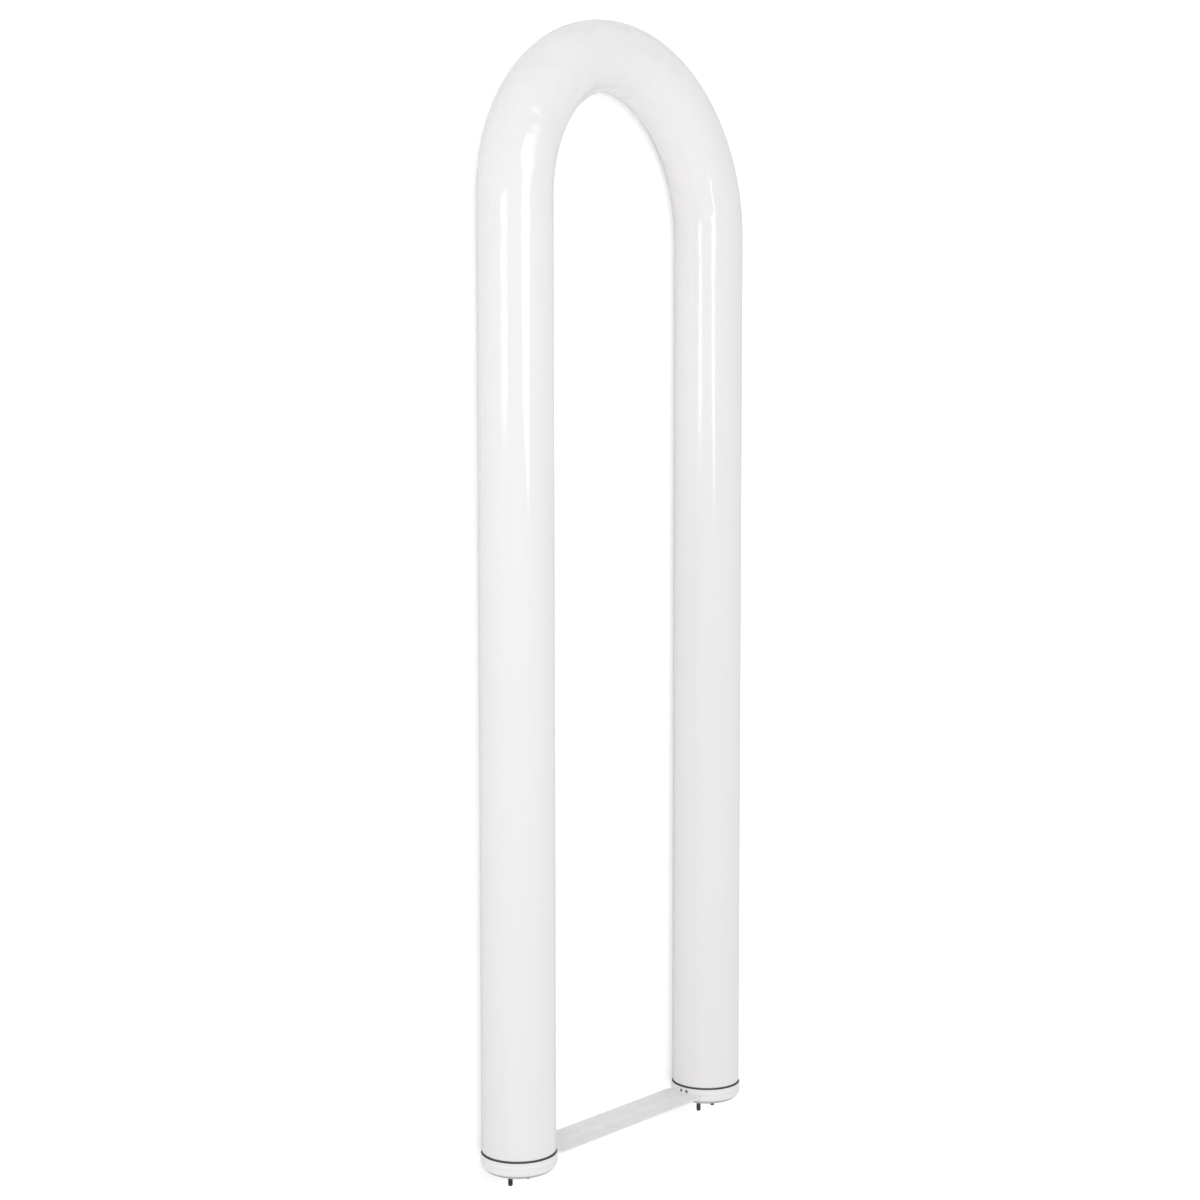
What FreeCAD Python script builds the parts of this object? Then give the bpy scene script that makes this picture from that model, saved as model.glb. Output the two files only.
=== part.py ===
"""A U-bent fluorescent lamp: one bent glass tube, two capped ends with two pins each, and a brace between the caps.

Sizes are in millimetres. The lamp is built standing on its bases, with the base faces at z = 0, the legs
rising along +Z and the bend on top. At the end it is laid on its side, as it comes to rest on a table:
the bend points along +Y, +Z is up, and the origin is under the middle of the lamp, on the table.
"""
import FreeCAD
import Part

import math
import os

from FreeCAD import Vector

# Driving sizes of the lamp.
OVERALL_LENGTH = 571.5  # base face to the outside of the bend
LEG_SPACING = 152.4  # between the axes of the two legs
TUBE_DIAMETER = 37.0
CROWN_THINNING = 2.2  # how much thinner the tube is at the crown, in the plane of the bend
BEND_STRETCH = 3.3  # how much higher the bend's centre line rises than a half circle would

# The glass ends, which are necked down to go inside the caps.
NECK_STEP = 0.8  # how far the neck lies under the tube's surface
GLASS_END = 4.5  # height of the glass rim over the base face
RIM_WIDTH = 4.2  # from the outside of the neck to the mouth of the stem
RIM_RADIUS = 1.2
STEM_THROAT_DIAMETER = 10.0
STEM_DEPTH = 24.0  # glass rim to the press that seals the leads in
THROAT_LENGTH = 4.0
EXHAUST_DIAMETER = 4.0
EXHAUST_LENGTH = 17.0  # press to the pinched-off tip

# The caps, drawn from thin sheet.
CAP_OVER_TUBE = 0.6  # how far the cap stands proud of the tube's surface
CAP_WALL = 0.4
CAP_HEIGHT = 8.9
CAP_CORNER_RADIUS = 5.0
CAP_RIM_RADIUS = 0.18
CEMENT_LINE = 0.7  # gap between cap and glass, where the cement shows
CEMENT_RECESS = 0.4  # how far the cement lies under the tube's surface there
CEMENT_DEPTH = 3.3  # how far the cement reaches into the cap

# The insulating discs that close the caps.
DISC_THICKNESS = 1.6
DISC_LEDGE = 2.6  # how far the disc's edge laps over the cap's floor
DISC_EDGE_RADIUS = 0.3
FLOOR_WIDTH = 2.6  # flat ring of the cap's floor, from its round corner to the disc

# The pins of the medium two-pin base.
PIN_SPACING = 12.7
PIN_DIAMETER = 2.35
PIN_LENGTH = 7.1  # base face to tip
PIN_BORE = 1.1
PIN_CRIMP_LENGTH = 1.6  # where the pin is closed on its wire
PIN_CRIMP_TAPER = 0.5
PIN_TIP_RADIUS = 0.7
PIN_COLLAR_DIAMETER = 3.6
PIN_COLLAR_THICKNESS = 0.5
PIN_HEAD_DIAMETER = 3.8
PIN_HEAD_THICKNESS = 0.5

# The lead wires from the stem press to the pins.
WIRE_DIAMETER = 0.5
WIRE_OFFSET = 3.3  # from the leg's axis, where a wire leaves the press
WIRE_BEND_RADIUS = 2.5
WIRE_CRANK_BOTTOM = 6.0
WIRE_CRANK_TOP = 9.0
WIRE_END_RECESS = 0.1  # how far a wire stops short of the pin's tip

# The brace, a strip of sheet between the caps with a pressed bead and a welded tab at each end.
BRACE_WIDTH = 24.0
BRACE_SHEET = 0.8
BRACE_BOTTOM = 5.4  # over the base face
BRACE_CORNER_RADIUS = 3.2
BEAD_WIDTH = 6.0
BEAD_HEIGHT = 0.9
BEAD_LENGTH = 88.0
BEAD_FOOT_RADIUS = 0.6
TAB_WIDTH = 7.0
TAB_TOP = 8.0  # over the base face
TAB_ROOT = 3.0  # from the cap to where the tab leaves the strip
TAB_SLOT = 0.8
TAB_BEND_RADIUS = 0.4
TAB_CORNER_RADIUS = 0.5
WELD_SPACING = 3.6
WELD_DIAMETER = 0.9
WELD_DEPTH = 0.2

# Places that follow from the sizes above.
TUBE_RADIUS = TUBE_DIAMETER / 2
NECK_RADIUS = TUBE_RADIUS - NECK_STEP
MOUTH_RADIUS = NECK_RADIUS - RIM_WIDTH
CAP_RADIUS = TUBE_RADIUS + CAP_OVER_TUBE
OPENING_RADIUS = CAP_RADIUS - CAP_CORNER_RADIUS - FLOOR_WIDTH
DISC_RADIUS = OPENING_RADIUS + DISC_LEDGE
LEG_X = LEG_SPACING / 2
BEND_RISE = LEG_X + BEND_STRETCH
BEND_START = OVERALL_LENGTH - (TUBE_RADIUS - CROWN_THINNING / 2) - BEND_RISE
SHOULDER = CAP_HEIGHT + CEMENT_LINE
PRESS = GLASS_END + STEM_DEPTH
DISC_TOP = CAP_WALL + DISC_THICKNESS
BRACE_TOP = BRACE_BOTTOM + BRACE_SHEET
BEAD_RADIUS = (BEAD_WIDTH ** 2 / 4 + BEAD_HEIGHT ** 2) / (2 * BEAD_HEIGHT)

SIDES = {"left": -1, "right": 1}
PLACES = {"outer": 1, "inner": -1}

BEND_SPANS = 12  # lengths of the bend between the sections that it is drawn through

UP = Vector(0, 0, 1)
ACROSS = Vector(0, 1, 0)


def point(radius, height):
    """A point of a half section: radius from the axis, height over the base face."""
    return Vector(radius, 0, height)


def straight(start, end):
    """A straight edge between two points."""
    return Part.LineSegment(start, end).toShape()


def arc(start, centre, end):
    """The shorter circular edge from start to end about centre, in the plane of a half section."""
    radius = start.distanceToPoint(centre)
    middle = (start - centre) + (end - centre)
    middle.normalize()
    return Part.Arc(start, centre + middle * radius, end).toShape()


def turned(edges):
    """The solid made by turning a closed half section about the Z axis."""
    face = Part.Face(Part.Wire(edges))
    return face.revolve(Vector(0, 0, 0), UP, 360)


def outline(points):
    """Straight edges through the points, closed back to the first."""
    return [straight(a, b) for a, b in zip(points, points[1:] + points[:1])]


def cylinder(diameter, bottom, top):
    """A cylinder on the Z axis."""
    return Part.makeCylinder(diameter / 2, top - bottom, point(0, bottom), UP)


def edges_at(shape, height, radius):
    """The round edges of a turned solid at this height and radius."""
    found = []
    for edge in shape.Edges:
        curve = edge.Curve
        if not isinstance(curve, Part.Circle):
            continue
        if abs(curve.Center.z - height) < 1e-6 and abs(curve.Radius - radius) < 1e-6:
            found.append(edge)
    return found


def leg_section():
    """Half section of one leg: the straight tube, its necked end and the funnel of the stem."""
    mouth, throat = MOUTH_RADIUS, STEM_THROAT_DIAMETER / 2
    shoulder_top = SHOULDER + NECK_STEP
    rim_out = point(NECK_RADIUS - RIM_RADIUS, GLASS_END)
    rim_in = point(mouth + RIM_RADIUS, GLASS_END)
    throat_bottom = PRESS - THROAT_LENGTH
    funnel_start = point(mouth, GLASS_END + RIM_RADIUS)
    funnel_end = point(throat, throat_bottom)
    axis_top, axis_press = point(0, BEND_START), point(0, PRESS)
    return [
        straight(axis_press, axis_top),
        straight(axis_top, point(TUBE_RADIUS, BEND_START)),
        straight(point(TUBE_RADIUS, BEND_START), point(TUBE_RADIUS, shoulder_top)),
        arc(point(TUBE_RADIUS, shoulder_top), point(NECK_RADIUS, shoulder_top), point(NECK_RADIUS, SHOULDER)),
        straight(point(NECK_RADIUS, SHOULDER), point(NECK_RADIUS, GLASS_END + RIM_RADIUS)),
        arc(point(NECK_RADIUS, GLASS_END + RIM_RADIUS), rim_out + UP * RIM_RADIUS, rim_out),
        straight(rim_out, rim_in),
        arc(rim_in, rim_in + UP * RIM_RADIUS, funnel_start),
        straight(funnel_start, funnel_end),
        straight(funnel_end, point(throat, PRESS)),
        straight(point(throat, PRESS), axis_press),
    ]


def exhaust_tip():
    """The pinched-off exhaust tube that stands in the funnel, with its rounded tip."""
    radius = EXHAUST_DIAMETER / 2
    tip = PRESS - EXHAUST_LENGTH
    return turned([
        straight(point(0, PRESS), point(radius, PRESS)),
        straight(point(radius, PRESS), point(radius, tip + radius)),
        arc(point(radius, tip + radius), point(0, tip + radius), point(0, tip)),
        straight(point(0, tip), point(0, PRESS)),
    ])


def bend_section(angle):
    """The tube's outline at an angle along the bend: round at the legs, flattened most at the crown."""
    centre = Vector(-LEG_X * math.cos(angle), 0, BEND_START + BEND_RISE * math.sin(angle))
    along = Vector(LEG_X * math.sin(angle), 0, BEND_RISE * math.cos(angle)).normalize()
    flattened = CROWN_THINNING / 2 * math.sin(angle) ** 2
    if flattened < 1e-9:
        return Part.Wire(Part.makeCircle(TUBE_RADIUS, centre, along))
    outward = ACROSS.cross(along) * (TUBE_RADIUS - flattened)
    oval = Part.Ellipse(centre + ACROSS * TUBE_RADIUS, centre + outward, centre)
    return Part.Wire(oval.toShape())


def glass_tube():
    """The bent tube, coated inside and sealed: two legs and the bend between them, as one solid."""
    angles = [math.pi * index / BEND_SPANS for index in range(BEND_SPANS + 1)]
    bend = Part.makeLoft([bend_section(angle) for angle in angles], True, False)
    leg = turned(leg_section()).fuse(exhaust_tip())
    legs = [leg.translated(Vector(side * LEG_X, 0, 0)) for side in SIDES.values()]
    return bend.fuse(legs).removeSplitter()


def cap_shell():
    """A drawn cap: a cup with a round shoulder, a rounded rim and a hole in its floor for the disc."""
    inner = CAP_RADIUS - CAP_WALL
    floor = CAP_RADIUS - CAP_CORNER_RADIUS
    hole = OPENING_RADIUS
    centre = point(floor, CAP_CORNER_RADIUS)
    rim = CAP_HEIGHT - CAP_RIM_RADIUS
    crown_out, crown_in = CAP_RADIUS - CAP_RIM_RADIUS, inner + CAP_RIM_RADIUS
    return turned([
        straight(point(hole, 0), point(floor, 0)),
        arc(point(floor, 0), centre, point(CAP_RADIUS, CAP_CORNER_RADIUS)),
        straight(point(CAP_RADIUS, CAP_CORNER_RADIUS), point(CAP_RADIUS, rim)),
        arc(point(CAP_RADIUS, rim), point(crown_out, rim), point(crown_out, CAP_HEIGHT)),
        straight(point(crown_out, CAP_HEIGHT), point(crown_in, CAP_HEIGHT)),
        arc(point(crown_in, CAP_HEIGHT), point(crown_in, rim), point(inner, rim)),
        straight(point(inner, rim), point(inner, CAP_CORNER_RADIUS)),
        arc(point(inner, CAP_CORNER_RADIUS), centre, point(floor, CAP_WALL)),
        straight(point(floor, CAP_WALL), point(hole, CAP_WALL)),
        straight(point(hole, CAP_WALL), point(hole, 0)),
    ])


def cement_ring(glass):
    """The dark cement that holds a cap on the glass and shows as a thin line between them."""
    inner = CAP_RADIUS - CAP_WALL
    shown = TUBE_RADIUS - CEMENT_RECESS
    shoulder_top = SHOULDER + NECK_STEP
    blank = turned(outline([
        point(NECK_RADIUS, CAP_HEIGHT - CEMENT_DEPTH),
        point(inner, CAP_HEIGHT - CEMENT_DEPTH),
        point(inner, CAP_HEIGHT - CEMENT_RECESS),
        point(shown, CAP_HEIGHT),
        point(shown, shoulder_top),
        point(NECK_RADIUS, shoulder_top),
    ]))
    return blank.cut(glass)


def insulating_disc():
    """The disc inside the cap: its middle fills the cap's opening, flush with the base face."""
    middle = cylinder(2 * OPENING_RADIUS, 0, DISC_TOP)
    disc = middle.fuse(cylinder(2 * DISC_RADIUS, CAP_WALL, DISC_TOP)).removeSplitter()
    disc = disc.makeFillet(DISC_EDGE_RADIUS, edges_at(disc, DISC_TOP, DISC_RADIUS))
    for place in PLACES.values():
        hole = cylinder(PIN_DIAMETER, 0, DISC_TOP).fuse(cylinder(PIN_COLLAR_DIAMETER, 0, PIN_COLLAR_THICKNESS))
        disc = disc.cut(hole.translated(Vector(place * PIN_SPACING / 2, 0, 0)))
    return disc


def contact_pin():
    """A hollow pin: a collar sunk in the disc's face, a riveted head behind it, and a tip closed on the wire."""
    shank, collar, head = PIN_DIAMETER / 2, PIN_COLLAR_DIAMETER / 2, PIN_HEAD_DIAMETER / 2
    bore, crimp = PIN_BORE / 2, WIRE_DIAMETER / 2
    top = DISC_TOP + PIN_HEAD_THICKNESS
    tip = -PIN_LENGTH
    tip_bend, tip_flat = tip + PIN_TIP_RADIUS, shank - PIN_TIP_RADIUS
    crimp_top = tip + PIN_CRIMP_LENGTH
    return turned([
        straight(point(bore, top), point(head, top)),
        straight(point(head, top), point(head, DISC_TOP)),
        straight(point(head, DISC_TOP), point(shank, DISC_TOP)),
        straight(point(shank, DISC_TOP), point(shank, PIN_COLLAR_THICKNESS)),
        straight(point(shank, PIN_COLLAR_THICKNESS), point(collar, PIN_COLLAR_THICKNESS)),
        straight(point(collar, PIN_COLLAR_THICKNESS), point(collar, 0)),
        straight(point(collar, 0), point(shank, 0)),
        straight(point(shank, 0), point(shank, tip_bend)),
        arc(point(shank, tip_bend), point(tip_flat, tip_bend), point(tip_flat, tip)),
        straight(point(tip_flat, tip), point(crimp, tip)),
        straight(point(crimp, tip), point(crimp, crimp_top)),
        straight(point(crimp, crimp_top), point(bore, crimp_top + PIN_CRIMP_TAPER)),
        straight(point(bore, crimp_top + PIN_CRIMP_TAPER), point(bore, top)),
    ])


def lead_wire():
    """One lead, from the press past the exhaust tip and out through the bore of its pin."""
    out, near = PIN_SPACING / 2, WIRE_OFFSET
    end = WIRE_END_RECESS - PIN_LENGTH
    corners = [point(near, PRESS), point(near, WIRE_CRANK_TOP), point(out, WIRE_CRANK_BOTTOM), point(out, end)]
    edges, start = [], corners[0]
    for before, corner, after in zip(corners, corners[1:], corners[2:]):
        towards = (before - corner).normalize()
        away = (after - corner).normalize()
        half_turn = (math.pi - towards.getAngle(away)) / 2
        trim = WIRE_BEND_RADIUS * math.tan(half_turn)
        inwards = (towards + away).normalize()
        centre = corner + inwards * (WIRE_BEND_RADIUS / math.cos(half_turn))
        edges.append(straight(start, corner + towards * trim))
        start = corner + away * trim
        edges.append(arc(corner + towards * trim, centre, start))
    edges.append(straight(start, corners[-1]))
    section = Part.Wire(Part.makeCircle(WIRE_DIAMETER / 2, corners[0], UP))
    return Part.Wire(edges).makePipeShell([section], True, True)


def round_bead(radius):
    """A bar with ball ends along the middle of the brace, for the outside or the inside of its bead."""
    height = BRACE_TOP + BEAD_HEIGHT - BEAD_RADIUS
    half = BEAD_LENGTH / 2 - BEAD_WIDTH / 2
    bar = Part.makeCylinder(radius, 2 * half, Vector(-half, 0, height), Vector(1, 0, 0))
    balls = [Part.makeSphere(radius, Vector(x, 0, height)) for x in (-half, half)]
    return bar.fuse(balls).removeSplitter()


def end_tab():
    """The tab at one end of the brace, bent up along a cap that stands on the Z axis."""
    inner, outer = CAP_RADIUS, CAP_RADIUS + BRACE_SHEET
    bend = BRACE_SHEET + TAB_BEND_RADIUS
    root = CAP_RADIUS + TAB_ROOT
    centre = point(inner + bend, BRACE_BOTTOM + bend)
    hoop = turned([
        straight(point(root, BRACE_BOTTOM), point(inner + bend, BRACE_BOTTOM)),
        arc(point(inner + bend, BRACE_BOTTOM), centre, point(inner, BRACE_BOTTOM + bend)),
        straight(point(inner, BRACE_BOTTOM + bend), point(inner, TAB_TOP)),
        straight(point(inner, TAB_TOP), point(outer, TAB_TOP)),
        straight(point(outer, TAB_TOP), point(outer, BRACE_TOP + TAB_BEND_RADIUS)),
        arc(point(outer, BRACE_TOP + TAB_BEND_RADIUS), centre, point(inner + bend, BRACE_TOP)),
        straight(point(inner + bend, BRACE_TOP), point(root, BRACE_TOP)),
        straight(point(root, BRACE_TOP), point(root, BRACE_BOTTOM)),
    ])
    corner = Vector(0, -TAB_WIDTH / 2, BRACE_BOTTOM)
    tab = hoop.common(Part.makeBox(2 * root, TAB_WIDTH, TAB_TOP - BRACE_BOTTOM, corner))
    corners = [edge for edge in tab.Edges if is_tab_corner(edge)]
    tab = tab.makeFillet(TAB_CORNER_RADIUS, corners)
    for place in PLACES.values():
        spot = Vector(outer - WELD_DEPTH, place * WELD_SPACING / 2, (BRACE_TOP + TAB_BEND_RADIUS + TAB_TOP) / 2)
        tab = tab.cut(Part.makeCylinder(WELD_DIAMETER / 2, BRACE_SHEET, spot, Vector(1, 0, 0)))
    return tab


def is_tab_corner(edge):
    """Whether the edge is one of the two upper corners of a tab."""
    return all(abs(v.Z - TAB_TOP) < 1e-6 and abs(abs(v.Y) - TAB_WIDTH / 2) < 1e-6 for v in edge.Vertexes)


def is_strip_corner(edge):
    """Whether the edge is one of the four outer corners of the strip."""
    side = all(abs(abs(v.Y) - BRACE_WIDTH / 2) < 1e-6 for v in edge.Vertexes)
    return side and abs(edge.Length - BRACE_SHEET) < 1e-6


def is_bead_foot(edge):
    """Whether the edge is where the bead rises out of the strip's upper face."""
    level = all(abs(v.Z - BRACE_TOP) < 1e-6 for v in edge.Vertexes)
    low = abs(edge.BoundBox.ZLength) < 1e-4
    inside = edge.BoundBox.YMax < BEAD_WIDTH / 2 + 0.01 and edge.BoundBox.YMin > -BEAD_WIDTH / 2 - 0.01
    return level and low and inside and edge.BoundBox.XMax < BEAD_LENGTH / 2 + 0.01


def brace():
    """The brace: a flat strip with round-cut ends, a bead pressed along it and a tab at each end."""
    corner = Vector(-LEG_X, -BRACE_WIDTH / 2, BRACE_BOTTOM)
    strip = Part.makeBox(LEG_SPACING, BRACE_WIDTH, BRACE_SHEET, corner)
    for side in SIDES.values():
        strip = strip.cut(cylinder(2 * CAP_RADIUS, 0, CAP_HEIGHT).translated(Vector(side * LEG_X, 0, 0)))
    strip = strip.makeFillet(BRACE_CORNER_RADIUS, [edge for edge in strip.Edges if is_strip_corner(edge)])
    above = Part.makeBox(LEG_SPACING, BRACE_WIDTH, BEAD_RADIUS, Vector(-LEG_X, -BRACE_WIDTH / 2, BRACE_BOTTOM))
    strip = strip.fuse(round_bead(BEAD_RADIUS).common(above)).removeSplitter()
    strip = strip.makeFillet(BEAD_FOOT_RADIUS, [edge for edge in strip.Edges if is_bead_foot(edge)])
    strip = strip.cut(round_bead(BEAD_RADIUS - BRACE_SHEET))
    window_width = TAB_WIDTH + 2 * TAB_SLOT
    reach = CAP_RADIUS + TAB_ROOT
    for side, turn in (("left", 0), ("right", 180)):
        window = cylinder(2 * reach, 0, CAP_HEIGHT)
        window = window.common(Part.makeBox(2 * reach, window_width, CAP_HEIGHT, Vector(0, -window_width / 2, 0)))
        tab = end_tab()
        for shape in (window, tab):
            shape.rotate(Vector(0, 0, 0), UP, turn)
            shape.translate(Vector(SIDES[side] * LEG_X, 0, 0))
        strip = strip.cut(window).fuse(tab)
    return strip.removeSplitter()


def laid_down(shape):
    """The shape turned from standing on its bases to lying on its side, centred over the origin."""
    middle = (OVERALL_LENGTH - PIN_LENGTH) / 2
    side = FreeCAD.Placement(Vector(0, -middle, CAP_RADIUS), FreeCAD.Rotation(Vector(1, 0, 0), -90))
    moved = shape.copy()
    moved.Placement = side.multiply(moved.Placement)
    return moved


def main():
    """Builds every piece and writes one STEP file for each."""
    glass = glass_tube()
    pieces = {"glass_tube": glass, "brace": brace()}
    leg_glass = turned(leg_section())
    in_each_leg = {
        "end_cap": cap_shell(),
        "cement_ring": cement_ring(leg_glass),
        "insulating_disc": insulating_disc(),
    }
    for side, sign in SIDES.items():
        axis = Vector(sign * LEG_X, 0, 0)
        for name, shape in in_each_leg.items():
            pieces[f"{side}_{name}"] = shape.translated(axis)
        for place, outward in PLACES.items():
            turn = 0 if sign * outward > 0 else 180
            wire = lead_wire()
            wire.rotate(Vector(0, 0, 0), UP, turn)
            pieces[f"{side}_{place}_lead_wire"] = wire.translated(axis)
            pin_axis = axis + Vector(sign * outward * PIN_SPACING / 2, 0, 0)
            pieces[f"{side}_{place}_pin"] = contact_pin().translated(pin_axis)

    os.makedirs("parts", exist_ok=True)
    for name, shape in pieces.items():
        laid_down(shape).exportStep(f"parts/{name}.step")


main()
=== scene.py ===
"""The look of a U-bent fluorescent lamp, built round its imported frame.

The lamp lies on its side: the two legs run along Y, the bend is at +Y, the caps and pins are at -Y, and the
floor is at Z = 0. Sizes are in metres.
"""

import logging
import math
from dataclasses import dataclass, field
from enum import Enum

import bmesh
import bpy
from mathutils import Matrix, Vector


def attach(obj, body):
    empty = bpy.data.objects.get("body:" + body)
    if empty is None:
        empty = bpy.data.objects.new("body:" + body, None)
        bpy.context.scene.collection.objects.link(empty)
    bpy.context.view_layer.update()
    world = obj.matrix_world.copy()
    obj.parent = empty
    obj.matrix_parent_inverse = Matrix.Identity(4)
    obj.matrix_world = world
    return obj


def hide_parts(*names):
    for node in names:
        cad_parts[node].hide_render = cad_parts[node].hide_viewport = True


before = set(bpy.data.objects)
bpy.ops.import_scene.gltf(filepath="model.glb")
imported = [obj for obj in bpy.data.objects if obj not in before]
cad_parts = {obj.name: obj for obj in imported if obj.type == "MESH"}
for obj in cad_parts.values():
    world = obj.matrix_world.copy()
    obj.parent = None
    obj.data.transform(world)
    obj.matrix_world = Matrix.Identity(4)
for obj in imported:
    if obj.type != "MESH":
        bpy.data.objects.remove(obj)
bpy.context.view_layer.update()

log = logging.getLogger("lamp")

Triple = tuple[float, float, float]
Socket = bpy.types.NodeSocket

BODY = "root"
MM = 0.001
WELD_DISTANCE = 1e-7
WHITE = (1.0, 1.0, 1.0, 1.0)
GLOSSY_IOR = 1.5
MIX_FIRST, MIX_SECOND, MIX_RESULT = 6, 7, 2  # the Mix node's sockets for colours
LAMP_CENTRE = 0.5  # where a soft lamp's middle is along its width and its length, each from 0 to 1
ALONG_X = (1.0, 0.0, 0.0)
ALONG_Y = (0.0, 1.0, 0.0)


class Side(Enum):
    """The two legs, by the sign of their place along X."""

    LEFT = -1
    RIGHT = 1

    @property
    def word(self) -> str:
        """The name that the frame's nodes use."""
        return self.name.lower()


class PinPlace(Enum):
    """The two pins of a cap, by the names that the frame's nodes use."""

    OUTER = "outer"
    INNER = "inner"


class Reach(Enum):
    """What a softbox does: light the lamp, or show in its gloss."""

    LIGHT = "light"
    GLOSS = "gloss"


@dataclass(frozen=True)
class LampSizes:
    """The sizes that the tube is drawn with.

    Attributes:
        leg_x: From the middle of the lamp to a leg's axis.
        axis_z: Height of the tube's axis over the floor.
        base_y: Where the flat faces of the two bases are.
        bend_y: Where the straight legs end and the bend starts.
        bend_rise: From there to the crown, along the tube's centre line.
        tube_radius: Outside of the glass.
        crown_thinning: How much thinner the tube is at the crown, in the plane of the bend.
    """

    leg_x: float = 76.2 * MM
    axis_z: float = 19.1 * MM
    base_y: float = -282.2 * MM
    bend_y: float = 192.4 * MM
    bend_rise: float = 79.5 * MM
    tube_radius: float = 18.5 * MM
    crown_thinning: float = 2.2 * MM

    def leg_axis(self, side: Side) -> Vector:
        """Where the axis of a side's leg crosses its base face."""
        return Vector((side.value * self.leg_x, self.base_y, self.axis_z))


SIZES = LampSizes()


@dataclass(frozen=True)
class Grain:
    """A noise over a surface, and the relief that it gives.

    Attributes:
        fineness: How fine it is: about how many lumps it has to a metre.
        layers: How many finer layers lie over it.
        strength: How much of its relief shows.
        height: How high the relief is.
        stretch: How much finer it is along each axis.
    """

    fineness: float
    layers: float
    strength: float = 0.0
    height: float = 0.0
    stretch: Triple = (1.0, 1.0, 1.0)


class NodeTree:
    """Builds the nodes of a material, a world or a lamp with short calls."""

    def __init__(self, owner: bpy.types.Material | bpy.types.World | bpy.types.Light, kind: str) -> None:
        """Starts an empty tree.

        Args:
            owner: What the nodes belong to.
            kind: What that is, as its output node's name ends.
        """
        owner.use_nodes = True
        self.owner = owner
        self.nodes = owner.node_tree.nodes
        self.links = owner.node_tree.links
        self.nodes.clear()
        self.output = self.nodes.new("ShaderNodeOutput" + kind)

    @classmethod
    def of_material(cls, name: str) -> "NodeTree":
        """Starts a new material of that name."""
        return cls(bpy.data.materials.new(name), "Material")

    def add(self, kind: str, **values: object) -> bpy.types.Node:
        """Adds a node and sets its sockets and options.

        Args:
            kind: The node's type, without its "ShaderNode" prefix.
            **values: Options by attribute name, or socket values by socket name with _ for each space.

        Returns:
            The node.
        """
        node = self.nodes.new("ShaderNode" + kind)
        for key, value in values.items():
            if hasattr(node, key):
                setattr(node, key, value)
            else:
                node.inputs[key.replace("_", " ")].default_value = value
        return node

    def link(self, source: Socket, target: Socket) -> None:
        """Joins an output socket to an input socket."""
        self.links.new(source, target)

    def surface(self, shader: bpy.types.Node) -> None:
        """Makes a shader what the whole tree gives."""
        self.link(shader.outputs[0], self.output.inputs["Surface"])

    def math(self, operation: str, *values: Socket | float) -> Socket:
        """Works one number out of others.

        Args:
            operation: The Math node's name for what it does.
            *values: The numbers, or the sockets that hold them.

        Returns:
            The socket with the result.
        """
        node = self.add("Math", operation=operation)
        for socket, value in zip(node.inputs, values):
            if isinstance(value, float):
                socket.default_value = value
            else:
                self.link(value, socket)
        return node.outputs[0]

    def place(self, stretch: Triple = (1.0, 1.0, 1.0)) -> Socket:
        """Gives object coordinates.

        Args:
            stretch: How much finer a pattern on them gets along each axis.

        Returns:
            The socket that holds them.
        """
        where = self.add("TexCoord")
        mapping = self.add("Mapping", Scale=stretch)
        self.link(where.outputs["Object"], mapping.inputs["Vector"])
        return mapping.outputs["Vector"]

    def part(self, vector: Socket, axis: str) -> Socket:
        """Takes one coordinate out of a vector.

        Args:
            vector: The socket with the vector.
            axis: X, Y or Z.

        Returns:
            The socket with the coordinate.
        """
        split = self.add("SeparateXYZ")
        self.link(vector, split.inputs["Vector"])
        return split.outputs[axis]

    def noise(self, grain: Grain) -> Socket:
        """Gives a grain's noise.

        Args:
            grain: The grain.

        Returns:
            The socket with its value, from 0 to 1.
        """
        node = self.add("TexNoise", Scale=grain.fineness, Detail=grain.layers)
        self.link(self.place(grain.stretch), node.inputs["Vector"])
        return node.outputs["Fac"]

    def relief(self, height: Socket, grain: Grain, under: Socket | None = None) -> Socket:
        """Raises the surface by a grain's strength and height.

        Args:
            height: The value that raises it, from 0 to 1.
            grain: The grain.
            under: The normal of a relief that this one lies on.

        Returns:
            The socket with the normal.
        """
        node = self.add("Bump", Strength=grain.strength, Distance=grain.height)
        self.link(height, node.inputs["Height"])
        if under:
            self.link(under, node.inputs["Normal"])
        return node.outputs["Normal"]

    def ramp(self, value: Socket, stops: tuple[float, float], colors: tuple[Triple, Triple]) -> Socket:
        """Goes from one colour to another along a value.

        Args:
            value: The value from 0 to 1.
            stops: Where the first colour ends and where the second one starts.
            colors: The two colours.

        Returns:
            The socket with the colour.
        """
        node = self.add("ValToRGB")
        for element, place, color in zip(node.color_ramp.elements, stops, colors):
            element.position = place
            element.color = (*color, 1.0)
        self.link(value, node.inputs["Fac"])
        return node.outputs["Color"]

    def fade(self, value: Socket, start: float, end: float) -> Socket:
        """Makes a soft step along a value.

        Args:
            value: The value that drives it.
            start: Where it is 0.
            end: Where it is 1.

        Returns:
            The socket with the step, from 0 to 1.
        """
        node = self.add("MapRange", interpolation_type="SMOOTHSTEP", From_Min=start, From_Max=end)
        self.link(value, node.inputs["Value"])
        return node.outputs["Result"]

    def mixed(self, factor: Socket, color: Triple, other: Socket) -> Socket:
        """Lets a plain colour give way to another one.

        Args:
            factor: How much of the other one shows, from 0 to 1.
            color: The plain colour.
            other: The socket with the other colour.

        Returns:
            The socket with the mixed colour.
        """
        node = self.add("Mix", data_type="RGBA")
        self.link(factor, node.inputs["Factor"])
        node.inputs[MIX_FIRST].default_value = (*color, 1.0)
        self.link(other, node.inputs[MIX_SECOND])
        return node.outputs[MIX_RESULT]


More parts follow.
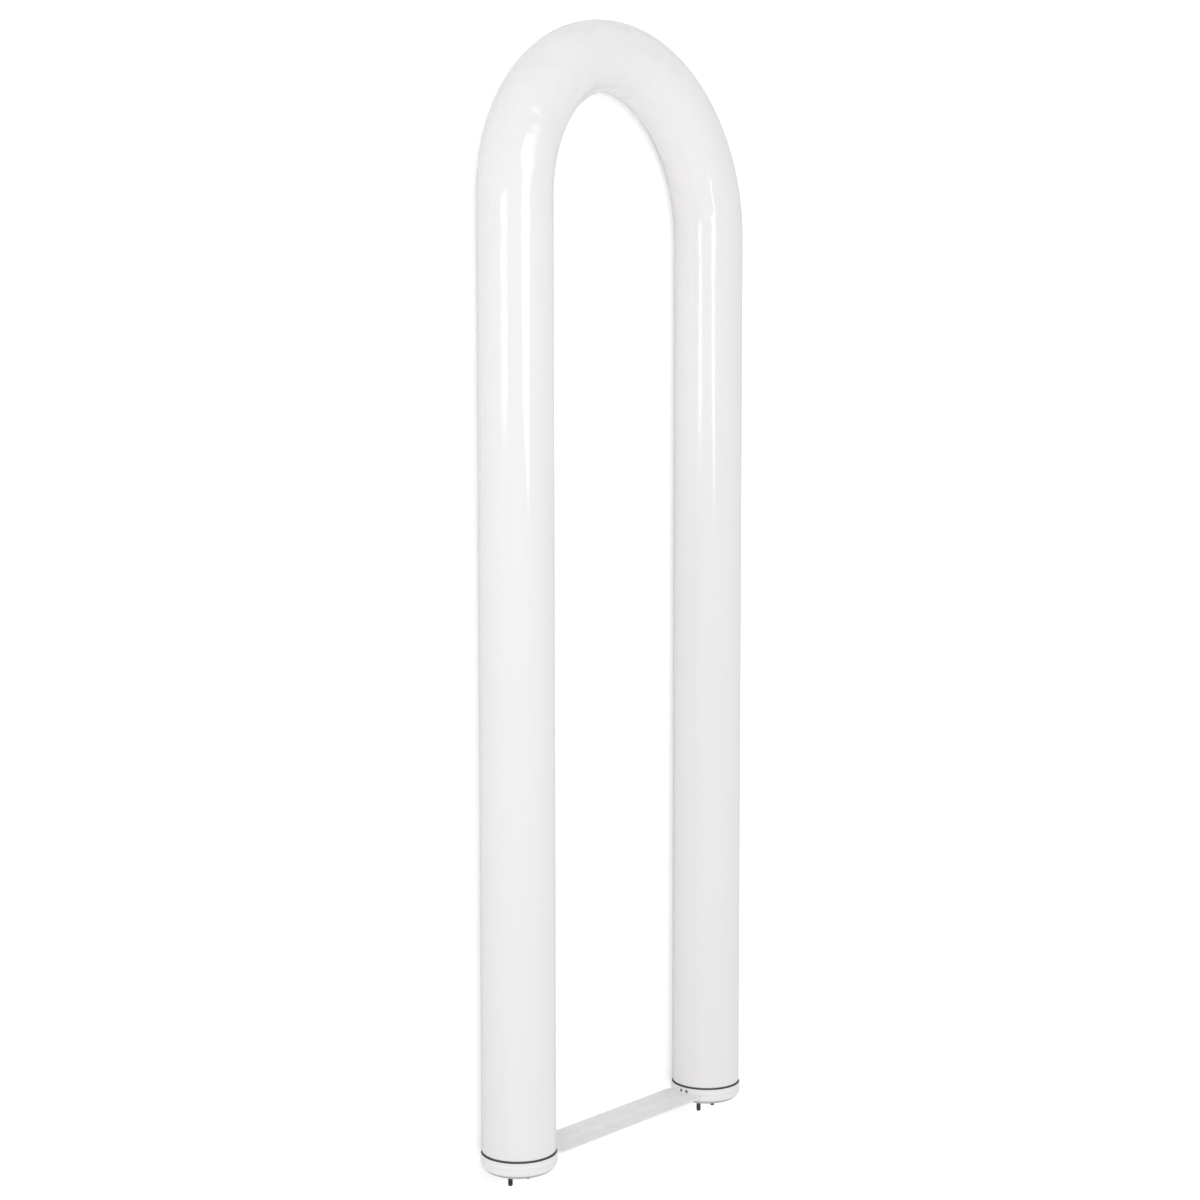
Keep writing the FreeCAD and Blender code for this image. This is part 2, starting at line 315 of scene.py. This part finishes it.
@dataclass(frozen=True)
class CoatedGlass:
    """Clear glass over a matt white coating on its inner wall.

    Attributes:
        thin: The coating's colour where it is a little thinner.
        thick: Its colour where it is thick.
        stops: Where along the cloud's noise it is thin, and where thick.
        cloud: How the coating's thickness varies.
        ripple: The faint waves along the drawn tube.
        folds: The waves that bending leaves in the glass.
        bend: Where along Y the folds start, and where they have their full height.
        roughness: How dull the glass is.
    """

    thin: Triple = (0.890, 0.875, 0.883)
    thick: Triple = (0.908, 0.893, 0.900)
    stops: tuple[float, float] = (0.35, 0.68)
    cloud: Grain = Grain(22.0, 3.0, stretch=(1.0, 0.25, 1.0))
    ripple: Grain = Grain(46.0, 1.0, 0.10, 0.6 * MM, (1.0, 0.22, 1.0))
    folds: Grain = Grain(38.0, 2.0, 1.0, 2.8 * MM)
    bend: tuple[float, float] = (0.15, 0.21)
    roughness: float = 0.09

    def build(self) -> bpy.types.Material:
        """Builds the material.

        Returns:
            The material.
        """
        tree = NodeTree.of_material("coated_glass")
        shader = tree.add("BsdfPrincipled", Roughness=self.roughness, IOR=GLOSSY_IOR)
        coating = tree.ramp(tree.noise(self.cloud), self.stops, (self.thin, self.thick))
        tree.link(coating, shader.inputs["Base Color"])
        drawn = tree.relief(tree.noise(self.ripple), self.ripple)
        bent = tree.fade(tree.part(tree.place(), "Y"), *self.bend)
        folded = tree.math("MULTIPLY", tree.noise(self.folds), bent)
        tree.link(tree.relief(folded, self.folds, drawn), shader.inputs["Normal"])
        tree.surface(shader)
        return tree.owner


@dataclass(frozen=True)
class SheetPaint:
    """Smooth paint on thin sheet, with a trace of orange peel.

    Attributes:
        name: The material's name.
        dirt: The paint's colour where it is a little soiled.
        color: Its colour where it is clean.
        roughness: How dull the paint is.
        stops: Where along the patches' noise it is soiled, and where clean.
        patches: How the dirt lies.
        peel: The orange peel.
    """

    name: str
    dirt: Triple
    color: Triple
    roughness: float
    stops: tuple[float, float] = (0.30, 0.55)
    patches: Grain = Grain(130.0, 4.0)
    peel: Grain = Grain(900.0, 2.0, 0.12, 0.1 * MM)

    def build(self) -> bpy.types.Material:
        """Builds the material.

        Returns:
            The material.
        """
        tree = NodeTree.of_material(self.name)
        shader = tree.add("BsdfPrincipled", Roughness=self.roughness, IOR=GLOSSY_IOR)
        paint = tree.ramp(tree.noise(self.patches), self.stops, (self.dirt, self.color))
        tree.link(self.marked(tree, paint), shader.inputs["Base Color"])
        tree.link(tree.relief(tree.noise(self.peel), self.peel), shader.inputs["Normal"])
        tree.surface(shader)
        return tree.owner

    def marked(self, tree: NodeTree, paint: Socket) -> Socket:
        """Returns the paint's colour as it is: plain sheet has no marks."""
        return paint


@dataclass(frozen=True)
class WeldedSheet(SheetPaint):
    """The brace's paint, with dark spots where its tabs are welded on.

    Attributes:
        scorch: Colour of the dark spots.
        spot_x: From the middle of the lamp to the spots.
        spot_y: How far the spots are from the middle along the lamp, towards the pins.
        spot_z: The two heights that they have on each tab.
        spot_radius: How wide a spot is, from its centre to where it fades out.
    """

    name: str = "brace_paint"
    dirt: Triple = (0.86, 0.848, 0.848)
    color: Triple = (0.90, 0.888, 0.89)
    roughness: float = 0.42
    # plain dark spots at the weld places, much darker than the paint
    scorch: Triple = (0.20, 0.19, 0.185)
    spot_x: float = 56.3 * MM
    spot_y: float = 274.9 * MM
    spot_z: tuple[float, float] = (17.3 * MM, 20.9 * MM)
    spot_radius: float = 1.2 * MM

    def marked(self, tree: NodeTree, paint: Socket) -> Socket:
        """Adds the dark spots, alike on both tabs, to the paint's colour.

        Args:
            tree: The material's nodes.
            paint: The socket with the paint's colour.

        Returns:
            The socket with the marked colour.
        """
        where = tree.add("VectorMath", operation="ABSOLUTE")
        tree.link(tree.place(), where.inputs[0])
        for height in self.spot_z:
            reach = tree.add("VectorMath", operation="DISTANCE")
            tree.link(where.outputs["Vector"], reach.inputs[0])
            reach.inputs[1].default_value = (self.spot_x, self.spot_y, height)
            clear = tree.fade(reach.outputs["Value"], self.spot_radius / 2, self.spot_radius)
            paint = tree.mixed(clear, self.scorch, paint)
        return paint


@dataclass(frozen=True)
class DrawnCap(SheetPaint):
    """The caps' paint: faint drawing rings show through it, and its rounded lower edge turns grey, partly
    painted shade and partly the bare rolled edge.

    Attributes:
        ring: The paint's colour in the rings.
        rings: How the rings follow each other along the cap.
        ring_stops: Where along their noise a ring shows, and where it doesn't.
        edge: Colour of the rounded lower edge: painted shade, and partly the bare rolled edge.
        edge_y: Where along Y the painted edge shade is full, and where it has faded out to the paint.
    """

    name: str = "cap_paint"
    dirt: Triple = (0.92, 0.912, 0.911)
    color: Triple = (0.945, 0.937, 0.937)
    roughness: float = 0.32
    ring: Triple = (0.89, 0.882, 0.882)
    rings: Grain = Grain(450.0, 1.0, stretch=(0.0, 1.0, 0.0))
    ring_stops: tuple[float, float] = (0.42, 0.56)
    # painted shade, and partly the bare rolled edge: grey on the cap's rounded lower edge
    edge: Triple = (0.46, 0.453, 0.45)
    edge_y: tuple[float, float] = (-280.4 * MM, -279.6 * MM)

    def marked(self, tree: NodeTree, paint: Socket) -> Socket:
        """Adds the rings and the grey lower edge, partly painted shade and partly bare metal, to the
        paint's colour.

        Args:
            tree: The material's nodes.
            paint: The socket with the paint's colour.

        Returns:
            The socket with the marked colour.
        """
        plain = tree.fade(tree.noise(self.rings), *self.ring_stops)
        # painted shade, and partly the bare rolled edge: the paint turns grey towards the base face
        painted = tree.fade(tree.part(tree.place(), "Y"), *self.edge_y)
        return tree.mixed(painted, self.edge, tree.mixed(plain, self.ring, paint))


@dataclass(frozen=True)
class GrainyFinish:
    """A finish whose grain shows in its colour and in its relief.

    Attributes:
        name: The material's name.
        dark: Colour in the grain's hollows.
        light: Colour on its lumps.
        roughness: How dull it is.
        grain: The grain.
        stops: Where along the grain's noise it is dark, and where light.
        metallic: 1 where it is bare metal.
    """

    name: str
    dark: Triple
    light: Triple
    roughness: float
    grain: Grain
    stops: tuple[float, float] = (0.3, 0.7)
    metallic: float = 0.0

    def build(self) -> bpy.types.Material:
        """Builds the material.

        Returns:
            The material.
        """
        tree = NodeTree.of_material(self.name)
        shader = tree.add("BsdfPrincipled", Roughness=self.roughness, Metallic=self.metallic)
        height = tree.noise(self.grain)
        tree.link(tree.ramp(height, self.stops, (self.dark, self.light)), shader.inputs["Base Color"])
        tree.link(tree.relief(height, self.grain), shader.inputs["Normal"])
        tree.surface(shader)
        return tree.owner


@dataclass(frozen=True)
class BasingCement(GrainyFinish):
    """Dark, slightly grainy cement."""

    name: str = "basing_cement"
    dark: Triple = (0.055, 0.053, 0.052)
    light: Triple = (0.120, 0.116, 0.112)
    roughness: float = 0.75
    grain: Grain = Grain(1500.0, 3.0, 0.3, 0.1 * MM)


@dataclass(frozen=True)
class MouldedPlastic(GrainyFinish):
    """Hard dark insulating plastic with a fine filler."""

    name: str = "moulded_plastic"
    dark: Triple = (0.060, 0.048, 0.040)
    light: Triple = (0.110, 0.090, 0.074)
    roughness: float = 0.48
    grain: Grain = Grain(1100.0, 4.0, 0.12, 0.1 * MM)
    stops: tuple[float, float] = (0.45, 0.72)


@dataclass(frozen=True)
class PlatedPin(GrainyFinish):
    """Dull plated metal with fine turning lines round it, coloured near black as a painted dark reflection
    of what is round it.
    """

    name: str = "pin_metal"
    # painted dark reflection: the bright plating is coloured near black
    dark: Triple = (0.030, 0.028, 0.027)
    light: Triple = (0.085, 0.080, 0.076)
    roughness: float = 0.28
    grain: Grain = Grain(1.0, 2.0, 0.15, 0.1 * MM, (120.0, 2400.0, 120.0))
    metallic: float = 1.0


@dataclass(frozen=True)
class DrawnWire(GrainyFinish):
    """Bare wire with fine drawing lines along it."""

    name: str = "lead_metal"
    dark: Triple = (0.30, 0.27, 0.24)
    light: Triple = (0.45, 0.42, 0.39)
    roughness: float = 0.35
    grain: Grain = Grain(1.0, 2.0, 0.15, 0.1 * MM, (900.0, 60.0, 900.0))
    metallic: float = 1.0


@dataclass(frozen=True)
class Finishes:
    """Every finish of the lamp, built once."""

    glass: bpy.types.Material = field(default_factory=CoatedGlass().build)
    cap: bpy.types.Material = field(default_factory=DrawnCap().build)
    brace: bpy.types.Material = field(default_factory=WeldedSheet().build)
    cement: bpy.types.Material = field(default_factory=BasingCement().build)
    disc: bpy.types.Material = field(default_factory=MouldedPlastic().build)
    pin: bpy.types.Material = field(default_factory=PlatedPin().build)
    wire: bpy.types.Material = field(default_factory=DrawnWire().build)


class Piece:
    """One visible mesh that rides on the lamp's body."""

    def __init__(self, name: str) -> None:
        """Starts an empty mesh of that name."""
        self.name = name
        self.mesh = bmesh.new()

    def finish(self, material: bpy.types.Material, slot: str, *nodes: str) -> None:
        """Writes the mesh into the scene, dressed and riding on the lamp.

        Args:
            material: Its finish.
            slot: A material slot's name; not used.
            *nodes: The frame's nodes that it stands for.
        """
        bmesh.ops.remove_doubles(self.mesh, verts=self.mesh.verts, dist=WELD_DISTANCE)
        bmesh.ops.recalc_face_normals(self.mesh, faces=self.mesh.faces)
        for face in self.mesh.faces:
            face.smooth = True
        data = bpy.data.meshes.new(self.name)
        self.mesh.to_mesh(data)
        self.mesh.free()
        data.materials.append(material)
        piece = bpy.data.objects.new(self.name, data)
        bpy.context.scene.collection.objects.link(piece)
        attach(piece, BODY)
        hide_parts(*nodes)
        log.info("%s: %d faces", self.name, len(data.polygons))


@dataclass(frozen=True)
class GlassTube:
    """The bent tube: two legs, necked in at the caps, and a half ring between them.

    Attributes:
        around: Faces round the tube.
        leg_steps: Faces along a leg.
        bend_steps: Faces along the bend.
        shoulder_steps: Faces along the rounded step from a leg to its neck.
        neck_step: How far the neck lies under the tube's surface.
        neck_top: Height over the base face where the neck starts to widen.
        glass_end: Height over the base face of the glass rim.
    """

    around: int = 96
    leg_steps: int = 48
    bend_steps: int = 120
    shoulder_steps: int = 6
    neck_step: float = 0.8 * MM
    neck_top: float = 9.6 * MM
    glass_end: float = 4.5 * MM

    def build(self, finishes: Finishes) -> None:
        """Builds the tube.

        Args:
            finishes: The lamp's finishes.
        """
        piece = Piece("glass_envelope")
        mesh = piece.mesh
        upright = Matrix.Rotation(math.pi / 2, 4, "X")
        ring = bmesh.ops.create_circle(
            mesh, segments=self.around, radius=SIZES.tube_radius, matrix=self.station(0.0) @ upright)
        first = list({edge for vert in ring["verts"] for edge in vert.link_edges})
        last = first
        for index in range(self.bend_steps):
            here, there = (self.station(math.pi * step / self.bend_steps) for step in (index, index + 1))
            last = self.drawn(mesh, last, there @ here.inverted())
        self.leg(mesh, first, Side.LEFT)
        self.leg(mesh, last, Side.RIGHT)
        piece.finish(finishes.glass, "coated_glass", "glass_tube")

    @staticmethod
    def station(angle: float) -> Matrix:
        """Where the tube's section stands at an angle along the bend, and how far it is flattened there.

        Args:
            angle: From 0 at the left leg to pi at the right one.

        Returns:
            The matrix: X in the plane of the bend, Y along the tube, Z up.
        """
        centre = Vector((
            -SIZES.leg_x * math.cos(angle), SIZES.bend_y + SIZES.bend_rise * math.sin(angle), SIZES.axis_z))
        along = Vector((SIZES.leg_x * math.sin(angle), SIZES.bend_rise * math.cos(angle), 0.0)).normalized()
        flattened = SIZES.crown_thinning / 2 * math.sin(angle) ** 2
        up = Vector((0.0, 0.0, 1.0))
        outward = along.cross(up) * (1 - flattened / SIZES.tube_radius)
        return Matrix.Translation(centre) @ Matrix((outward, along, up)).transposed().to_4x4()

    def leg(self, mesh: bmesh.types.BMesh, open_edges: list[bmesh.types.BMEdge], side: Side) -> None:
        """Draws one leg down from the bend and necks its end.

        Args:
            mesh: The mesh it is drawn in.
            open_edges: The open ring it starts from.
            side: Which leg.
        """
        axis = SIZES.leg_axis(side)
        shoulder = axis.y + self.neck_top + self.neck_step
        runs = [(shoulder, SIZES.tube_radius, self.leg_steps)]
        for index in range(1, self.shoulder_steps + 1):
            angle = math.pi / 2 * index / self.shoulder_steps
            radius = SIZES.tube_radius - self.neck_step * (1 - math.cos(angle))
            runs.append((shoulder - self.neck_step * math.sin(angle), radius, 1))
        runs.append((axis.y + self.glass_end, SIZES.tube_radius - self.neck_step, 1))
        here, radius = SIZES.bend_y, SIZES.tube_radius
        centre = Matrix.Translation((axis.x, 0.0, axis.z))
        for target, target_radius, steps in runs:
            ratio = 1 + (target_radius / radius - 1) / steps
            narrowed = centre @ Matrix.Diagonal((ratio, 1.0, ratio, 1.0)) @ centre.inverted()
            lowered = Matrix.Translation((0.0, (target - here) / steps, 0.0))
            for _ in range(steps):
                open_edges = self.drawn(mesh, open_edges, lowered @ narrowed)
            here, radius = target, target_radius
        bmesh.ops.contextual_create(mesh, geom=open_edges)

    @staticmethod
    def drawn(
        mesh: bmesh.types.BMesh, open_edges: list[bmesh.types.BMEdge], move: Matrix
    ) -> list[bmesh.types.BMEdge]:
        """Draws an open ring out into the next one.

        Args:
            mesh: The mesh it is drawn in.
            open_edges: The ring's edges.
            move: What takes the ring to its new place.

        Returns:
            The new open ring's edges.
        """
        drawn_out = bmesh.ops.extrude_edge_only(mesh, edges=open_edges)["geom"]
        fresh = {item for item in drawn_out if isinstance(item, bmesh.types.BMVert)}
        bmesh.ops.transform(mesh, matrix=move, verts=list(fresh))
        edges = [item for item in drawn_out if isinstance(item, bmesh.types.BMEdge)]
        return [edge for edge in edges if fresh.issuperset(edge.verts)]


def dress(node: str, material: bpy.types.Material) -> None:
    """Gives a frame node its finish.

    Args:
        node: The node's name.
        material: Its finish.
    """
    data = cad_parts[node].data
    data.materials.clear()
    data.materials.append(material)
    log.info("%s: dressed", node)


@dataclass(frozen=True)
class EndBase:
    """The base on one leg: its cap, cement, disc, pins and wires, with the frame's own shapes.

    Attributes:
        side: Which leg it is on.
    """

    side: Side

    def build(self, finishes: Finishes) -> None:
        """Dresses the base.

        Args:
            finishes: The lamp's finishes.
        """
        dress(f"{self.side.word}_end_cap", finishes.cap)
        dress(f"{self.side.word}_cement_ring", finishes.cement)
        dress(f"{self.side.word}_insulating_disc", finishes.disc)
        for pin_place in PinPlace:
            dress(f"{self.side.word}_{pin_place.value}_pin", finishes.pin)
            dress(f"{self.side.word}_{pin_place.value}_lead_wire", finishes.wire)


@dataclass(frozen=True)
class Brace:
    """The flat strip between the caps, with the frame's own shape.

    Attributes:
        node: The frame's node.
    """

    node: str = "brace"

    def build(self, finishes: Finishes) -> None:
        """Dresses the brace."""
        dress(self.node, finishes.brace)


def stand(item: bpy.types.Object, place: Triple, right: Vector, back: Vector) -> None:
    """Puts a lamp or the camera in the scene, in its place and turned.

    Args:
        item: The lamp or camera.
        place: Where it is.
        right: Roughly which way its right side points.
        back: Which way its back points.
    """
    back = back.normalized()
    right = (right - back * right.dot(back)).normalized()
    item.location = place
    item.rotation_mode = "QUATERNION"
    item.rotation_quaternion = Matrix((right, back.cross(right), back)).transposed().to_quaternion()
    bpy.context.scene.collection.objects.link(item)


@dataclass(frozen=True)
class Softbox:
    """One soft lamp, unseen by the camera.

    Attributes:
        name: Its name.
        place: Where it hangs.
        target: What it faces.
        along: Roughly which way its length runs.
        length: Its side along that.
        width: Its other side.
        power: Its power in watts.
        reach: What it does.
        spread: How wide its light opens, in radians.
        fades: Over how much of its width, and of its length, it grows from dark at a side to full strength.
    """

    name: str
    place: Triple
    target: Triple
    along: Triple
    length: float
    width: float
    power: float
    reach: Reach
    spread: float = math.pi
    fades: tuple[float, float] | None = None

    def build(self) -> None:
        """Hangs the lamp."""
        data = bpy.data.lights.new(self.name, "AREA")
        data.shape = "RECTANGLE"
        data.size = self.width
        data.size_y = self.length
        data.energy = self.power
        data.spread = self.spread
        if self.fades:
            self.soften(data)
        lamp = bpy.data.objects.new(self.name, data)
        back = Vector(self.place) - Vector(self.target)
        stand(lamp, self.place, Vector(self.along).cross(back), back)
        lamp.visible_camera = False
        lamp.visible_glossy = self.reach is Reach.GLOSS
        lamp.visible_diffuse = self.reach is Reach.LIGHT

    def soften(self, data: bpy.types.Light) -> None:
        """Lets the lamp fade towards its sides.

        Args:
            data: The lamp.
        """
        tree = NodeTree(data, "Light")
        spot = tree.add("NewGeometry").outputs["Parametric"]
        shares = []
        for axis, fade in zip("XY", self.fades):
            off_centre = tree.math("ABSOLUTE", tree.math("SUBTRACT", tree.part(spot, axis), LAMP_CENTRE))
            shares.append(tree.fade(off_centre, LAMP_CENTRE, LAMP_CENTRE - fade))
        glow = tree.add("Emission", Color=WHITE)
        tree.link(tree.math("MULTIPLY", *shares), glow.inputs["Strength"])
        tree.surface(glow)


@dataclass(frozen=True)
class Viewpoint:
    """The camera, where the photograph was taken from.

    Attributes:
        place: Where it stands.
        right: Which way its right side points.
        back: Which way its back points.
        lens: Its focal length, in millimetres.
        sensor: Width of its sensor, in millimetres.
        shift: How far the picture is moved to the right and up, in picture widths.
        clip: The nearest and the farthest thing that it sees.
    """

    place: Triple = (-0.70034, 0.02724, 0.60959)
    right: Triple = (0.6446, 0.0, 0.7645)
    back: Triple = (-0.7625, 0.0728, 0.6429)
    lens: float = 53.03
    sensor: float = 36.0
    shift: tuple[float, float] = (-0.0151, 0.0606)
    clip: tuple[float, float] = (0.01, 50.0)

    def build(self) -> None:
        """Sets up the camera."""
        data = bpy.data.cameras.new("camera")
        data.sensor_width = self.sensor
        data.lens = self.lens
        data.shift_x, data.shift_y = self.shift
        data.clip_start, data.clip_end = self.clip
        camera = bpy.data.objects.new("camera", data)
        stand(camera, self.place, Vector(self.right), Vector(self.back))
        bpy.context.scene.camera = camera


@dataclass(frozen=True)
class Studio:
    """The floor, the world, the lamps and the camera.

    Attributes:
        floor_size: Side of the floor.
        floor_color: Colour of the floor.
        floor_glow: Light that comes up through the floor's paper.
        floor_lift: What makes the floor white to the camera.
        fill: Strength of the soft light from all round.
        seen: Strength of what the camera and reflections see all round.
        viewpoint: The camera.
        lamps: The soft lamps.
    """

    floor_size: float = 8.0
    floor_color: Triple = (0.90, 0.90, 0.90)
    floor_glow: float = 0.05
    floor_lift: float = 0.34
    fill: float = 0.71
    seen: float = 1.0
    viewpoint: Viewpoint = Viewpoint()
    lamps: tuple[Softbox, ...] = (
        Softbox(
            "front", place=(-0.62, 0.20, 0.72), target=(0.0, 0.16, 0.0), along=ALONG_Y,
            length=0.50, width=0.50, power=2.25, reach=Reach.LIGHT),
        Softbox(
            "behind_pins", place=(-0.25, -0.35, 0.60), target=(0.0, 0.25, 0.0), along=ALONG_X,
            length=0.40, width=0.30, power=0.15, reach=Reach.LIGHT),
        Softbox(
            "crook", place=(-0.01, -0.04, 0.06), target=(0.0, 0.26, 0.02), along=ALONG_X,
            length=0.05, width=0.05, power=0.008, reach=Reach.LIGHT, spread=math.radians(60.0)),
        Softbox(
            "low_panel", place=(-1.25, 0.275, 0.20), target=(0.0, 0.155, 0.02), along=ALONG_Y,
            length=0.293, width=0.585, power=1.97, reach=Reach.GLOSS, fades=(0.35, 0.25)),
        Softbox(
            "upper_strip", place=(-0.196, 0.2302, 0.3562), target=(-0.716, -0.2478, -0.3528),
            along=(-0.24, -0.715, 0.657),
            length=0.404, width=0.286, power=1.40, reach=Reach.GLOSS, fades=(0.30, 0.06)),
    )

    def build(self) -> None:
        """Sets up everything round the lamp."""
        self.floor()
        self.world()
        for lamp in self.lamps:
            lamp.build()
        self.viewpoint.build()
        bpy.context.scene.view_settings.view_transform = "Standard"

    def floor(self) -> None:
        """Lays the floor, white to the camera except where the lamp shades it."""
        mesh = bmesh.new()
        bmesh.ops.create_grid(mesh, x_segments=1, y_segments=1, size=self.floor_size / 2)
        data = bpy.data.meshes.new("floor")
        mesh.to_mesh(data)
        mesh.free()
        tree = NodeTree.of_material("floor_paper")
        paper = tree.add("BsdfDiffuse", Color=(*self.floor_color, 1.0))
        camera_ray = tree.add("LightPath").outputs["Is Camera Ray"]
        strength = tree.math("MULTIPLY_ADD", camera_ray, self.floor_lift, self.floor_glow)
        glow = tree.add("Emission", Color=WHITE)
        tree.link(strength, glow.inputs["Strength"])
        both = tree.add("AddShader")
        tree.link(paper.outputs[0], both.inputs[0])
        tree.link(glow.outputs[0], both.inputs[1])
        tree.surface(both)
        data.materials.append(tree.owner)
        floor = bpy.data.objects.new("floor", data)
        bpy.context.scene.collection.objects.link(floor)

    def world(self) -> None:
        """Adds soft light from all round, white where the camera or a reflection sees it."""
        world = bpy.data.worlds.new("studio")
        tree = NodeTree(world, "World")
        path = tree.add("LightPath").outputs
        mirrored = tree.math("MAXIMUM", path["Is Glossy Ray"], path["Is Transmission Ray"])
        mix = tree.add("MixShader")
        tree.link(tree.math("MAXIMUM", path["Is Camera Ray"], mirrored), mix.inputs[0])
        for strength, socket in ((self.fill, mix.inputs[1]), (self.seen, mix.inputs[2])):
            tree.link(tree.add("Background", Color=WHITE, Strength=strength).outputs[0], socket)
        tree.surface(mix)
        bpy.context.scene.world = world


def main() -> None:
    """Builds the lamp and its studio."""
    logging.basicConfig(level=logging.INFO, format="%(name)s: %(message)s")
    finishes = Finishes()
    GlassTube().build(finishes)
    Brace().build(finishes)
    for side in Side:
        EndBase(side).build(finishes)
    Studio().build()


if __name__ == "__main__":
    main()
